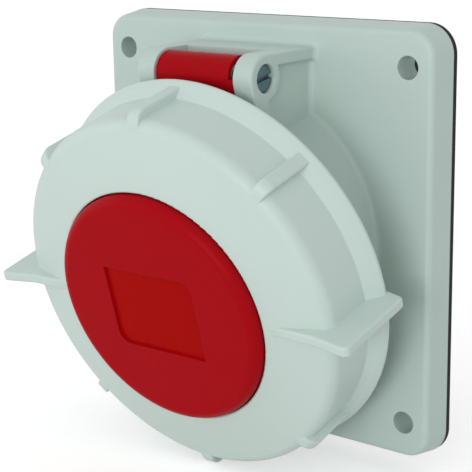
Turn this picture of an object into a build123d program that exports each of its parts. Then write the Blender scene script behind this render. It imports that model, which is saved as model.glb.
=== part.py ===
from build123d import *
import math
import os

os.makedirs("parts", exist_ok=True)

# Angled panel socket for heavy three-phase plugs, shown closed. Millimetres.
# X runs right, Z runs up and the socket faces -Y.
# The origin is the centre of the gasket's back face, which lies on the panel.
# A depth is measured along the socket's tilted axis, inward from the plane of
# the bayonet ring's front opening.

# Panel flange and its gasket; the flange stands a margin beyond the ring and the hinge
FLANGE_SIDE_MARGIN = 1.6
FLANGE_TOP_MARGIN = 6.0
FLANGE_T = 7.5
FLANGE_CORNER_R = 7.0
FLANGE_DRAFT = 1.15
FLANGE_EDGE_R = 1.5
ROOT_R = 1.4
HOLE_INSET_X = 7.5
HOLE_INSET_Z = 9.5
HOLE_R = 2.75
GASKET_T = 1.5
GASKET_GAP = 1.3

# Socket axis: its tilt, how low it starts, and how far the sleeve passes the panel
TILT = 15.0
FACE_DROP = 12.0
REAR_REACH = 7.09

# Sleeve that takes the plug, from its mouth to the rear end behind the panel
BORE_R = 31.9
SLEEVE_WALL = 2.6
MOUTH_DEPTH = 9.0
MOUTH_EDGE_R = 0.7
PLUG_DEPTH = 41.0
BASE_SEAT = 1.1
COLLAR_LENGTH = 6.0
KEYWAY_W = 8.2
KEYWAY_DEPTH = 1.6
KEYWAY_WALL = 2.4
KEYWAY_START = 2.0

# Bayonet lugs on the sleeve and the ring's cams, which lock after a part turn
LUG_HEIGHT = 5.0
LUG_T = 3.5
LUG_HALF_ANGLE = 12.0
CAM_HALF_ANGLE = 12.0
CAM_CLEARANCE = 2.5
CAM_T = 3.6
CAM_GAP = 0.4
CAM_INSET = 1.34
LOCK_TURN = 30.0

# Bayonet ring: conical front, ribbed skirt and two wings
OPENING_LAP = 2.35
RING_CONE = 15.0
RING_FRONT_T = 2.8
RING_LUG_GAP = 3.1
RING_SKIRT_T = 2.8
RING_SHOULDER_R = 3.0
FLARE_LENGTH = 4.24
FLARE_HEIGHT = 2.0
RIM_LENGTH = 2.14
RIM_HEIGHT = 3.0
FLARE_EDGE_R = 0.4
RIM_T = 0.8
RIM_EDGE_R = 0.2
RING_LENGTH = 21.84
OPENING_EDGE_R = 0.35
SKIN = 0.12
RIB_ANGLES = (45.0, 90.0, 135.0, 225.0, 270.0, 315.0)
RIB_W = 3.4
RIB_HEIGHT = 2.1
RIB_NOSE_R = 3.2
RIB_EDGE_R = 0.5
WING_T = 2.5
WING_OUT = 7.3
WING_NOSE = 1.6
WING_TAIL = 1.4
WING_SHOULDER_R = 12.0
WING_EDGE_R = 0.6
WING_CORNER_R = 1.4
BEAD_HEIGHT = 1.2
BEAD_W = 0.7

# Lid: a disc in the ring's opening on a wide flange behind the ring's front
TURN_GAP = 0.3
LID_FACE = 2.5
LID_SHOULDER_R = 2.6
LID_WALL = 2.6
LID_EDGE_R = 0.4
LID_CAVITY_DRAFT = 1.5
LID_CAVITY_R = 1.0
LID_FIT = 0.4
LID_LAP = 0.2
LABEL_W = 26.2
LABEL_H = 20.4
LABEL_DEPTH = 0.7
LABEL_CORNER_R = 3.0
SEAL_IN_LAP = 1.3
SEAL_OUT_LAP = 0.9
SEAL_T = 2.0
SEAL_LIP_W = 1.9
STRAP_INSET = 0.6
STRAP_T = 3.5

# Hinge: its pin lies behind the ring, a little outside its skirt
HINGE_RISE = 0.47
HINGE_BACK = 9.81
PIN_R = 2.0
PIN_FIT = 0.06
PIN_SHOULDER = 0.3
PIN_HEAD_R = 3.0
PIN_HEAD_T = 1.8
PIN_HEAD_SINK = 0.8
PIN_HEAD_GAP = 0.4
PIN_SLOT_W = 1.1
PIN_SLOT_DEPTH = 1.0
PIN_SLOT_TILT = 10.0
SCREW_FIT = 0.05
BARREL_WALL = 1.15
BARREL_LENGTH = 23.2
HINGE_GAP = 0.3
EAR_STEP = 0.55
EAR_T = 5.25
EAR_EDGE_R = 0.6
ROOF_T = 3.0
ROOF_SETBACK = 7.1
CHEEK_RECESS = 1.5
LID_SWING = 110.0

# Spring on the hinge pin, in a pocket at the barrel's right end
SPRING_WIRE_R = 0.5
SPRING_COIL_GAP = 0.5
SPRING_TURNS = 5
SPRING_PITCH = 1.35
SPRING_POCKET_SPACE = 0.85
SPRING_LEG_BITE = 2.4
SPRING_LEG_HOLE_R = 0.8
SPRING_LEG_GAP = 0.3
SPRING_CATCH_LENGTH = 3.0
SPRING_CATCH_GAP = 0.1
NOTCH_W = 1.6
NOTCH_MARGIN = 12.0

# Insulating bodies that hold the contacts
PLUG_SPACE = 4.6
COLUMN_SINK = 2.0
COLUMN_EDGE = 0.8
BASE_FIT = 0.3
TERMINAL_PLATE_T = 2.5
TERMINAL_PLATE_R = 0.5
TERMINAL_EDGE_R = 1.5
TERMINAL_SKIN = 5.1
TERMINAL_WALL = 5.0
PITCH_R = 15.7
FIRST_CONTACT = 270.0
CONTACT_NAMES = ("pe", "l1", "l2", "l3", "n")
EARTH_PIN_R = 4.0
PHASE_PIN_R = 3.0
PIN_ENTRY_GAP = 0.15
ENTRY_LENGTH = 6.0
CONTACT_WALL = 1.2
CHAMBER_GAP = 0.4
CONTACT_BORE_LENGTH = 28.0
CONTACT_SLIT_W = 0.8
CONTACT_SLIT_LENGTH = 20.0
SPRING_RING_T = 0.4
SPRING_RING_W = 3.4
SPRING_RING_BACK = 3.0
SPRING_RING_GAP = 30.0

# Terminal blocks, their clamping screws, and the screws of the two bodies
BLOCK_W = 10.4
BLOCK_LENGTH = 22.0
BLOCK_GAP = 0.2
WIRE_R = 2.7
WIRE_DEPTH = 14.0
CLAMP_R = 2.0
CLAMP_LENGTH = 5.0
CLAMP_DEPTHS = (12.0, 18.5)
CLAMP_SLOT_W = 0.8
CLAMP_SLOT_DEPTH = 0.8
DRIVER_GAP = 0.6
WIRE_ENTRY_R = 3.1
CARRIER_SCREW_R = 2.0
CARRIER_SCREW_BITE = 12.0
CARRIER_SEAT_T = 12.0
CARRIER_HEAD_R = 3.6
CARRIER_HEAD_T = 2.6
THROUGH_GAP = 0.25
INSERT_SCREW_R = 1.75
INSERT_SCREW_OUT = 2.3
INSERT_SCREW_LENGTH = 9.0
INSERT_HEAD_R = 3.0
INSERT_HEAD_T = 2.2
INSERT_BOSS_R = 3.4
INSERT_EAR_R = 3.9
HEAD_SLOT_W = 0.8
HEAD_SLOT_DEPTH = 0.9

# Worked out from the values above
TILT_RAD = math.radians(TILT)
CONE_SLOPE = math.tan(math.radians(RING_CONE))
LEDGE_DEPTH = MOUTH_DEPTH + PLUG_DEPTH
REAR_DEPTH = LEDGE_DEPTH + COLLAR_LENGTH
FACE_OUT = REAR_DEPTH * math.cos(TILT_RAD) - REAR_REACH
SLEEVE_R = BORE_R + SLEEVE_WALL
LUG_R = SLEEVE_R + LUG_HEIGHT
RING_BORE_R = LUG_R + RING_LUG_GAP
RING_R = RING_BORE_R + RING_SKIRT_T
RIM_R = RING_R + RIM_HEIGHT
OPENING_R = BORE_R - OPENING_LAP
WING_REACH = RING_R + WING_OUT
FLARE_START = RING_LENGTH - FLARE_LENGTH
FLARE_MID = RING_LENGTH - RIM_LENGTH
CAM_R = SLEEVE_R + CAM_CLEARANCE
CAM_FRONT = RING_LENGTH - CAM_INSET - CAM_T
LUG_BACK = CAM_FRONT - CAM_GAP
LUG_FRONT = LUG_BACK - LUG_T
SPRING_R = PIN_R + SPRING_WIRE_R + SPRING_COIL_GAP
SPRING_POCKET_R = SPRING_R + SPRING_WIRE_R + HINGE_GAP
SPRING_POCKET_DEPTH = SPRING_TURNS * SPRING_PITCH + 2 * SPRING_WIRE_R + SPRING_POCKET_SPACE
BARREL_R = SPRING_POCKET_R + BARREL_WALL
EAR_R = BARREL_R + EAR_STEP
STRAP_W = BARREL_LENGTH - 2 * STRAP_INSET
HINGE_V = RING_R + HINGE_RISE
HINGE_DEPTH = RING_LENGTH + HINGE_BACK
HINGE_OUT = FACE_OUT + HINGE_V * math.sin(TILT_RAD) - HINGE_DEPTH * math.cos(TILT_RAD)
HINGE_UP = HINGE_V * math.cos(TILT_RAD) + HINGE_DEPTH * math.sin(TILT_RAD) - FACE_DROP
ROOF_OUT = HINGE_OUT - ROOF_SETBACK
ROOF_TOP = HINGE_UP + EAR_R
FLANGE_W = 2 * (RIM_R + FLANGE_SIDE_MARGIN)
FLANGE_H = 2 * (ROOF_TOP + FLANGE_TOP_MARGIN)
HOLE_PITCH_X = FLANGE_W - 2 * HOLE_INSET_X
HOLE_PITCH_Z = FLANGE_H - 2 * HOLE_INSET_Z
OUTWARD = (0, -math.cos(TILT_RAD), -math.sin(TILT_RAD))
AXIS_FRAME = Plane(origin=(0, -FACE_OUT, -FACE_DROP), x_dir=(1, 0, 0), z_dir=OUTWARD)
FLANGE_FRAME = Plane(origin=(0, -GASKET_T, 0), x_dir=(1, 0, 0), z_dir=(0, -1, 0))
PANEL_FRAME = Plane(origin=(0, 0, 0), x_dir=(1, 0, 0), z_dir=(0, -1, 0))
HINGE_FRAME = Plane(origin=(0, -HINGE_OUT, HINGE_UP), x_dir=OUTWARD, z_dir=(-1, 0, 0))
SIDE_FRAME = Plane(origin=(0, 0, 0), x_dir=(0, 1, 0), z_dir=(1, 0, 0))
FLANGE_FACE = GASKET_T + FLANGE_T
BASE_BORE_R = BORE_R + BASE_SEAT
BASE_R = BASE_BORE_R - BASE_FIT
BLOCK_BACK = LEDGE_DEPTH + BLOCK_LENGTH
TERMINAL_BACK = BLOCK_BACK + BLOCK_GAP + TERMINAL_WALL
PLATE_BACK = REAR_DEPTH + TERMINAL_PLATE_T
COLUMN_FRONT = MOUTH_DEPTH + COLUMN_SINK
CONTACT_FRONT = COLUMN_FRONT + ENTRY_LENGTH
SEAL_IN_R = BORE_R - SEAL_IN_LAP
SEAL_OUT_R = SLEEVE_R + SEAL_OUT_LAP
SEAL_FRONT = MOUTH_DEPTH - TURN_GAP - SEAL_T
STRAP_OUT_R = RING_BORE_R - BEAD_HEIGHT - TURN_GAP
EAR_IN_X = BARREL_LENGTH / 2 + HINGE_GAP
EAR_OUT_X = EAR_IN_X + EAR_T
LID_FLANGE_R = RING_BORE_R - LID_FIT
LID_BACK_DEPTH = MOUTH_DEPTH + LID_LAP
COLUMN_R = BORE_R - PLUG_SPACE
TERMINAL_BODY_R = PITCH_R + BLOCK_W / 2 + TERMINAL_SKIN
INSERT_SCREW_X = SLEEVE_R + INSERT_SCREW_OUT
PIN_THREAD_R = PIN_R - PIN_SHOULDER
COUNTERBORE_R = PIN_HEAD_R + PIN_HEAD_GAP
COUNTERBORE_DEPTH = PIN_HEAD_T + PIN_HEAD_SINK
FROM_BELOW = (Align.CENTER, Align.CENTER, Align.MIN)
UNSHIFTED = (Align.NONE, Align.NONE, Align.MIN)


def rod(radius, front, back):
    """A cylinder on the local Z axis between two depths."""
    return Pos(0, 0, -back) * Cylinder(radius, back - front, align=FROM_BELOW)


def block(width, height, front, back):
    """A box centred on the local Z axis between two depths."""
    return Pos(0, 0, -back) * Box(width, height, back - front, align=FROM_BELOW)


def outline(corners):
    """A closed face in the local XZ plane; each corner is (radius, depth, rounding)."""
    points = [(r, 0, -depth) for r, depth, rounding in corners]
    roundings = [rounding for r, depth, rounding in corners]
    return make_face(FilletPolyline(*points, radius=roundings, close=True))


def turned(corners, start=0.0, arc=360.0):
    """A body of revolution about the local Z axis, or a sector of one."""
    return Rot(0, 0, start) * revolve(outline(corners), Axis.Z, arc)


def plate(corners, thickness):
    """A flat plate in the local XZ plane with the given outline."""
    return extrude(outline(corners), thickness / 2, both=True)


def around(radius, angle):
    """A place on a circle about the socket's axis, turned to face outward."""
    return Rot(0, 0, angle) * Pos(radius, 0, 0)


def cone_depth(radius):
    """Depth of the ring's conical front at a radius."""
    return (radius - OPENING_R) * CONE_SLOPE


def rounded(body, radius, edges):
    """The body with the given edges rounded."""
    return body.fillet(radius, edges)


def slotted_screw(shank_r, length, head_r, head_t):
    """A cheese-head screw: the head's seat is at z = 0 and the shank runs down."""
    screw = rod(shank_r, 0, length) + rod(head_r, -head_t, 0)
    slot = Box(2 * head_r + 1, HEAD_SLOT_W, 2 * HEAD_SLOT_DEPTH, align=FROM_BELOW)
    return screw - Pos(0, 0, head_t - HEAD_SLOT_DEPTH) * slot


def flange_plate():
    """The drafted mounting flange with its four screw holes."""
    draft = math.degrees(math.atan(FLANGE_DRAFT / FLANGE_T))
    body = extrude(RectangleRounded(FLANGE_W, FLANGE_H, FLANGE_CORNER_R), FLANGE_T, taper=draft)
    body = rounded(body, FLANGE_EDGE_R, body.faces().sort_by(Axis.Z)[-1].edges())
    for place in GridLocations(HOLE_PITCH_X, HOLE_PITCH_Z, 2, 2):
        body -= place * Cylinder(HOLE_R, 4 * FLANGE_T)
    return FLANGE_FRAME * body


def sleeve_outside():
    """The inclined sleeve with its bayonet lugs, keyway bulge and screw bosses."""
    body = turned([
        (BORE_R, MOUTH_DEPTH, MOUTH_EDGE_R),
        (SLEEVE_R, MOUTH_DEPTH, MOUTH_EDGE_R),
        (SLEEVE_R, REAR_DEPTH, 0),
        (BORE_R, REAR_DEPTH, 0),
    ])
    for side in (0.0, 180.0):
        body += turned([
            (BORE_R + SLEEVE_WALL / 2, LUG_FRONT, 0),
            (LUG_R, LUG_FRONT, MOUTH_EDGE_R),
            (LUG_R, LUG_BACK, 0),
            (BORE_R + SLEEVE_WALL / 2, LUG_BACK, 0),
        ], side - LUG_HALF_ANGLE, 2 * LUG_HALF_ANGLE)
        body += around(INSERT_SCREW_X, side) * rod(INSERT_BOSS_R, REAR_DEPTH - 2 * COLLAR_LENGTH, REAR_DEPTH)
    bulge_r = BORE_R + KEYWAY_DEPTH + KEYWAY_WALL
    half_angle = math.degrees(math.asin((KEYWAY_W / 2 + KEYWAY_WALL) / bulge_r))
    return body + turned([
        (BORE_R + SLEEVE_WALL / 2, MOUTH_DEPTH + KEYWAY_START, 0),
        (bulge_r, MOUTH_DEPTH + KEYWAY_START, 0),
        (bulge_r, REAR_DEPTH, 0),
        (BORE_R + SLEEVE_WALL / 2, REAR_DEPTH, 0),
    ], FIRST_CONTACT - half_angle, 2 * half_angle)


def sleeve_inside():
    """What is cut from the sleeve: plug bore, keyway, seat of the insert, screw holes."""
    cut = rod(BORE_R, MOUTH_DEPTH - MOUTH_EDGE_R, REAR_DEPTH)
    cut += rod(BASE_BORE_R, LEDGE_DEPTH, REAR_DEPTH + 1)
    cut += rod(SLEEVE_R + BASE_FIT, REAR_DEPTH, PLATE_BACK)
    keyway = block(KEYWAY_W, BORE_R + KEYWAY_DEPTH, 0, LEDGE_DEPTH)
    cut += Pos(0, -(BORE_R + KEYWAY_DEPTH) / 2, 0) * keyway
    for side in (0.0, 180.0):
        hole = rod(INSERT_SCREW_R + SCREW_FIT, REAR_DEPTH - INSERT_SCREW_LENGTH, REAR_DEPTH + 1)
        cut += around(INSERT_SCREW_X, side) * hole
    return cut


def side_profile(points, width):
    """A prism across X whose (y, z) outline is given, centred on the middle plane."""
    face = make_face(Polyline(*points, close=True))
    return extrude(SIDE_FRAME * face, width / 2, both=True)


def hinge_point(forward, up):
    """The (y, z) place at a distance along and across the socket's axis from the pin."""
    y = -HINGE_OUT - forward * math.cos(TILT_RAD) - up * math.sin(TILT_RAD)
    z = HINGE_UP - forward * math.sin(TILT_RAD) + up * math.cos(TILT_RAD)
    return (y, z)


def rooted(piece, half_width):
    """A piece that stands on the flange, joined to it by a soft root all round."""
    body = flange_plate() + piece
    roots = body.edges().filter_by(lambda e: abs(e.center().Y + FLANGE_FACE) < 0.01)
    roots = roots.filter_by(lambda e: abs(e.center().X) < half_width + 1)
    roots = roots.filter_by(lambda e: abs(e.center().Z) < ROOF_TOP + 1)
    return rounded(body, ROOT_R, roots)


def hinge_box():
    """Roof, recessed cheeks and the two round ears that carry the hinge pin."""
    root = -FLANGE_FACE + FLANGE_T / 2
    foot = -EAR_R - CHEEK_RECESS - (HINGE_V - SLEEVE_R)
    roof_floor = ROOF_TOP - ROOF_T
    cheeks = side_profile([
        (root, ROOF_TOP - ROOF_T / 2),
        (-HINGE_OUT, ROOF_TOP - ROOF_T / 2),
        hinge_point(0, 0),
        hinge_point(0, foot),
        (root, hinge_point(0, foot)[1]),
    ], 2 * (EAR_OUT_X - CHEEK_RECESS))
    ribs = side_profile([
        hinge_point(0, 0),
        hinge_point(EAR_R, 0),
        hinge_point(EAR_R, foot),
        hinge_point(0, foot),
    ], 2 * EAR_OUT_X)
    roof = side_profile([
        (root, roof_floor),
        (root, ROOF_TOP),
        (-HINGE_OUT, ROOF_TOP),
        (-HINGE_OUT, roof_floor),
    ], 2 * EAR_OUT_X)
    body = HINGE_FRAME * Cylinder(EAR_R, 2 * EAR_OUT_X) + roof + ribs
    sides = body.faces().filter_by(Axis.X)
    body = rounded(body, EAR_EDGE_R, sides.edges()) + cheeks
    roof_stub = extrude(RectangleRounded(2 * EAR_OUT_X, ROOF_T, EAR_EDGE_R), FLANGE_T + 2 * ROOT_R)
    body += rooted(FLANGE_FRAME * Pos(0, ROOF_TOP - ROOF_T / 2, 0) * roof_stub, EAR_OUT_X)
    cheek_h = ROOF_TOP - ROOF_T / 2 - SLEEVE_R + EAR_R
    cheek_stub = Rectangle(2 * (EAR_OUT_X - CHEEK_RECESS), cheek_h)
    cheek_stub = extrude(cheek_stub, FLANGE_T + 2 * ROOT_R)
    body += rooted(FLANGE_FRAME * Pos(0, ROOF_TOP - ROOF_T / 2 - cheek_h / 2, 0) * cheek_stub, EAR_OUT_X)
    reach = HINGE_OUT + 3 * EAR_R
    hollow = side_profile([
        (-FLANGE_FACE, 0), (-FLANGE_FACE, roof_floor), (-reach, roof_floor), (-reach, 0),
    ], 2 * EAR_IN_X)
    front_gap = side_profile([
        (-ROOF_OUT, 0), (-ROOF_OUT, 2 * ROOF_TOP), (-reach, 2 * ROOF_TOP), (-reach, 0),
    ], 2 * EAR_IN_X)
    return body - hollow - front_gap


def pin_holes():
    """Holes of the hinge pin: counterbored on the right, threaded on the left."""
    right = -EAR_OUT_X
    cut = Pos(0, 0, right) * Cylinder(PIN_R + SCREW_FIT, EAR_OUT_X, align=FROM_BELOW)
    cut += Pos(0, 0, right) * Cylinder(COUNTERBORE_R, 2 * COUNTERBORE_DEPTH)
    cut += Cylinder(PIN_THREAD_R + SCREW_FIT, EAR_OUT_X - EAR_T / 3, align=FROM_BELOW)
    return HINGE_FRAME * cut


def leg_geometry():
    """The fixed leg in the hinge frame: its direction, its tangent angle, its reach."""
    back = HINGE_OUT - ROOF_OUT
    up = ROOF_TOP - ROOF_T / 2 - HINGE_UP
    distance = math.hypot(back, up)
    rise = math.atan2(up, back) - math.asin(SPRING_R / distance)
    direction = math.pi + TILT_RAD - rise
    reach = math.sqrt(distance ** 2 - SPRING_R ** 2)
    return direction, direction - math.pi / 2, reach


def coil_point(angle, turns):
    """A point on the spring's centre line after a number of turns from its fixed leg."""
    z = SPRING_WIRE_R + HINGE_GAP - BARREL_LENGTH / 2 + turns * SPRING_PITCH
    return (SPRING_R * math.cos(angle), SPRING_R * math.sin(angle), z)


def spring_leg(radius, extra):
    """The fixed leg, or the hole in the roof that takes it, in the hinge frame."""
    direction, tangent_angle, reach = leg_geometry()
    along = (math.cos(direction), math.sin(direction), 0)
    start = Plane(origin=coil_point(tangent_angle, 0), x_dir=(0, 0, 1), z_dir=along)
    overlap = SPRING_WIRE_R / 2
    return start * Pos(0, 0, -overlap) * Cylinder(radius, reach + extra + overlap, align=FROM_BELOW)


def spring_catch(radius, extra):
    """The straight end that catches in the lid's barrel, or the hole for it."""
    place = Location(coil_point(leg_geometry()[1], SPRING_TURNS))
    return place * Cylinder(radius, SPRING_CATCH_LENGTH + extra, align=FROM_BELOW)


def flange_housing():
    """The grey moulding: flange, inclined sleeve and hinge box."""
    body = rooted(AXIS_FRAME * rod(SLEEVE_R, RING_LENGTH, REAR_DEPTH), SLEEVE_R)
    body += AXIS_FRAME * sleeve_outside() + hinge_box()
    body -= AXIS_FRAME * sleeve_inside()
    body -= pin_holes()
    body -= HINGE_FRAME * spring_leg(SPRING_LEG_HOLE_R, SPRING_LEG_BITE + SPRING_LEG_GAP)
    return body


def flange_gasket():
    """The flat rubber gasket behind the flange, with a round opening for the sleeve."""
    body = extrude(RectangleRounded(FLANGE_W, FLANGE_H, FLANGE_CORNER_R), GASKET_T)
    body -= Cylinder(INSERT_SCREW_X + INSERT_BOSS_R + GASKET_GAP, 4 * GASKET_T)
    for place in GridLocations(HOLE_PITCH_X, HOLE_PITCH_Z, 2, 2):
        body -= place * Cylinder(HOLE_R, 4 * GASKET_T)
    return PANEL_FRAME * body


def ring_shell():
    """The turned form of the bayonet ring, with its snap bead inside."""
    bead_front = LID_BACK_DEPTH + TURN_GAP
    return turned([
        (OPENING_R, 0, OPENING_EDGE_R),
        (RING_R, cone_depth(RING_R), RING_SHOULDER_R),
        (RING_R, FLARE_START, FLARE_EDGE_R),
        (RING_R + FLARE_HEIGHT, FLARE_MID, FLARE_EDGE_R),
        (RIM_R, RING_LENGTH - RIM_T, RIM_EDGE_R),
        (RIM_R, RING_LENGTH, RIM_EDGE_R),
        (RING_BORE_R + BEAD_HEIGHT, RING_LENGTH, 0),
        (RING_BORE_R, RING_LENGTH - BEAD_HEIGHT, 0),
        (RING_BORE_R, bead_front + BEAD_W + BEAD_HEIGHT, 0),
        (RING_BORE_R - BEAD_HEIGHT, bead_front + BEAD_W, 0),
        (RING_BORE_R - BEAD_HEIGHT, bead_front, 0),
        (RING_BORE_R, bead_front, 0),
        (RING_BORE_R, RING_FRONT_T + cone_depth(RING_BORE_R), 0),
        (OPENING_R, RING_FRONT_T, 0),
    ])


def ring_rib():
    """One grip rib, which follows the ring's profile a little further out."""
    crest_r = RING_R + RIB_HEIGHT
    inner_r = RING_R - RING_SKIRT_T / 2
    start_r = RING_R - RING_SHOULDER_R
    rib = plate([
        (start_r, cone_depth(start_r) + SKIN, 0),
        (crest_r, cone_depth(RING_R), RIB_NOSE_R),
        (crest_r, FLARE_MID + RIM_T, 0),
        (inner_r, FLARE_MID + RIM_T, 0),
        (inner_r, cone_depth(RING_R) + RING_FRONT_T, 0),
        (start_r, cone_depth(start_r) + RING_FRONT_T / 2, 0),
    ], RIB_W)
    crest = rib.edges().filter_by(lambda e: abs(abs(e.center().Y) - RIB_W / 2) < 0.01)
    crest = crest.filter_by(lambda e: e.center().X > RING_R - 0.5 and abs(e.center().Z) < FLARE_MID)
    return rounded(rib, RIB_EDGE_R, crest)


def ring_wing():
    """One wing: a radial plate that starts at the opening and passes the rim."""
    inner_r = RING_R - RING_SKIRT_T / 2
    start_r = OPENING_R + 4 * OPENING_EDGE_R
    wing = plate([
        (start_r, cone_depth(start_r) + SKIN, 0),
        (RING_R - WING_T, WING_T / 10, WING_SHOULDER_R),
        (WING_REACH, -WING_NOSE, WING_CORNER_R),
        (WING_REACH, RING_LENGTH, WING_CORNER_R),
        (RIM_R - RIM_T, RING_LENGTH + WING_TAIL, WING_EDGE_R),
        (RIM_R - 2 * RIM_T, RING_LENGTH, 0),
        (inner_r, RING_LENGTH, 0),
        (inner_r, cone_depth(RING_R) + RING_FRONT_T, 0),
        (start_r, cone_depth(start_r) + RING_FRONT_T / 2, 0),
    ], WING_T)
    rim = wing.edges().filter_by(lambda e: abs(abs(e.center().Y) - WING_T / 2) < 0.01)
    rim = rim.filter_by(lambda e: e.center().X > RING_R + 0.5 or abs(e.center().Z) < 0.6)
    return rounded(wing, WING_EDGE_R, rim)


def bayonet_ring():
    """The grey locking ring that turns on the lid."""
    ring = ring_shell()
    for angle in RIB_ANGLES:
        ring += Rot(0, 0, angle) * ring_rib()
    for side in (0.0, 180.0):
        ring += Rot(0, 0, side) * ring_wing()
        ring += turned([
            (CAM_R, CAM_FRONT, 0),
            (RING_BORE_R + RING_SKIRT_T / 2, CAM_FRONT, 0),
            (RING_BORE_R + RING_SKIRT_T / 2, CAM_FRONT + CAM_T, 0),
            (CAM_R, CAM_FRONT + CAM_T, 0),
        ], side + LOCK_TURN - CAM_HALF_ANGLE, 2 * CAM_HALF_ANGLE)
    return AXIS_FRAME * ring


def label_recess():
    """The shallow field on the lid: two corners sharp, two rounded."""
    half_w = LABEL_W / 2
    half_h = LABEL_H / 2
    corners = [(-half_w, half_h), (half_w, half_h), (half_w, -half_h), (-half_w, -half_h)]
    roundings = [0, LABEL_CORNER_R, 0, LABEL_CORNER_R]
    field = make_face(FilletPolyline(*corners, radius=roundings, close=True))
    return Pos(0, 0, LID_FACE - LABEL_DEPTH) * extrude(field, 2 * LABEL_DEPTH)


def lid_shell():
    """The turned form of the lid: disc, flange and the groove of its seal."""
    disc_r = OPENING_R - TURN_GAP
    cone_gap = RING_FRONT_T + TURN_GAP / math.cos(math.radians(RING_CONE))
    groove_in_r = SEAL_IN_R - TURN_GAP
    cavity_r = groove_in_r - SEAL_LIP_W
    return turned([
        (0, -LID_FACE, 0),
        (disc_r, -LID_FACE, LID_SHOULDER_R),
        (disc_r, cone_gap + cone_depth(disc_r), 0),
        (LID_FLANGE_R, cone_gap + cone_depth(LID_FLANGE_R), 0),
        (LID_FLANGE_R, LID_BACK_DEPTH, LID_EDGE_R),
        (SEAL_OUT_R + TURN_GAP, LID_BACK_DEPTH, 0),
        (SEAL_OUT_R + TURN_GAP, SEAL_FRONT, 0),
        (groove_in_r, SEAL_FRONT, 0),
        (groove_in_r, LID_BACK_DEPTH, 0),
        (cavity_r, LID_BACK_DEPTH, 0),
        (cavity_r - LID_CAVITY_DRAFT, LID_WALL - LID_FACE, LID_CAVITY_R),
        (0, LID_WALL - LID_FACE, 0),
    ])


def lid_strap():
    """The arm from the lid's flange back to the hinge barrel, inside the ring."""
    strap_back = HINGE_DEPTH + BARREL_R / 2
    arm = turned([
        (STRAP_OUT_R - STRAP_T, SEAL_FRONT, 0),
        (STRAP_OUT_R, SEAL_FRONT, 0),
        (STRAP_OUT_R, strap_back, 0),
        (STRAP_OUT_R - STRAP_T, strap_back, 0),
    ], 0, 180)
    arm &= Pos(0, STRAP_OUT_R, 0) * block(STRAP_W, 4 * STRAP_T, 0, 2 * strap_back)
    knuckle_h = HINGE_V - (STRAP_OUT_R - STRAP_T / 2)
    knuckle = block(BARREL_LENGTH, knuckle_h, HINGE_DEPTH - BARREL_R, strap_back)
    return arm + Pos(0, HINGE_V - knuckle_h / 2, 0) * knuckle


def barrel_cuts():
    """Bore of the pin, pocket of the spring, and the notch that its leg moves in."""
    end = -BARREL_LENGTH / 2
    cut = Cylinder(PIN_R + PIN_FIT, 2 * BARREL_LENGTH)
    cut += Pos(0, 0, end - 1) * Cylinder(SPRING_POCKET_R, SPRING_POCKET_DEPTH + 1, align=FROM_BELOW)
    tangent_angle = leg_geometry()[1]
    outer_turn = math.degrees(tangent_angle + math.acos(SPRING_R / BARREL_R))
    inner_turn = math.degrees(tangent_angle + math.acos(SPRING_R / SPRING_POCKET_R))
    start = inner_turn - NOTCH_MARGIN - LID_SWING
    arc = outer_turn + NOTCH_MARGIN - start
    notch = Cylinder(BARREL_R + 1, NOTCH_W + 1, arc_size=arc, align=UNSHIFTED)
    cut += Pos(0, 0, end - 1) * Rot(0, 0, start) * notch
    cut += spring_catch(SPRING_WIRE_R + SPRING_CATCH_GAP, SPRING_CATCH_GAP)
    return cut


def lid():
    """The red lid with its hinge arm and barrel."""
    body = lid_shell() - label_recess() + lid_strap()
    body = AXIS_FRAME * body + HINGE_FRAME * Cylinder(BARREL_R, BARREL_LENGTH)
    return body - HINGE_FRAME * barrel_cuts()


def lid_seal():
    """The flat rubber ring that closes on the sleeve's mouth."""
    back = SEAL_FRONT + SEAL_T
    return AXIS_FRAME * (rod(SEAL_OUT_R, SEAL_FRONT, back) - rod(SEAL_IN_R, SEAL_FRONT, back))


def hinge_pin():
    """The slotted shoulder screw, put in from the right."""
    head_bottom = EAR_OUT_X - COUNTERBORE_DEPTH
    pin = Pos(0, 0, -head_bottom) * Cylinder(PIN_R, head_bottom + EAR_IN_X, align=FROM_BELOW)
    pin += Pos(0, 0, EAR_IN_X) * Cylinder(PIN_THREAD_R, EAR_T / 2, align=FROM_BELOW)
    head = Pos(0, 0, -head_bottom - PIN_HEAD_T) * Cylinder(PIN_HEAD_R, PIN_HEAD_T, align=FROM_BELOW)
    pin += head
    slot = Rot(0, 0, TILT - PIN_SLOT_TILT) * Box(2 * PIN_HEAD_R + 1, PIN_SLOT_W, 2 * PIN_SLOT_DEPTH)
    return HINGE_FRAME * (pin - Pos(0, 0, -head_bottom - PIN_HEAD_T) * slot)


def hinge_spring():
    """The torsion spring: a coil on the pin, a leg in the roof, a leg in the lid."""
    tangent_angle = leg_geometry()[1]
    path = Helix(SPRING_PITCH, SPRING_TURNS * SPRING_PITCH, SPRING_R, lefthand=True)
    wire = Plane(origin=path @ 0, z_dir=path % 0) * Circle(SPRING_WIRE_R)
    start_z = coil_point(tangent_angle, 0)[2]
    coil = Pos(0, 0, start_z) * Rot(0, 0, math.degrees(tangent_angle)) * sweep(wire, path=path)
    bend = Location(coil_point(tangent_angle, SPRING_TURNS)) * Sphere(SPRING_WIRE_R)
    legs = spring_leg(SPRING_WIRE_R, SPRING_LEG_BITE) + bend + spring_catch(SPRING_WIRE_R, 0)
    return HINGE_FRAME * (coil + legs)


def contact_place(index):
    """Where a contact stands on the pitch circle; the earth is at the bottom."""
    return around(PITCH_R, FIRST_CONTACT - index * 360.0 / len(CONTACT_NAMES))


def pin_radius(name):
    """Radius of the plug pin that a contact takes."""
    return EARTH_PIN_R if name == "pe" else PHASE_PIN_R


def tube_radius(name):
    """Outer radius of a contact tube."""
    return pin_radius(name) + CONTACT_WALL


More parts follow.
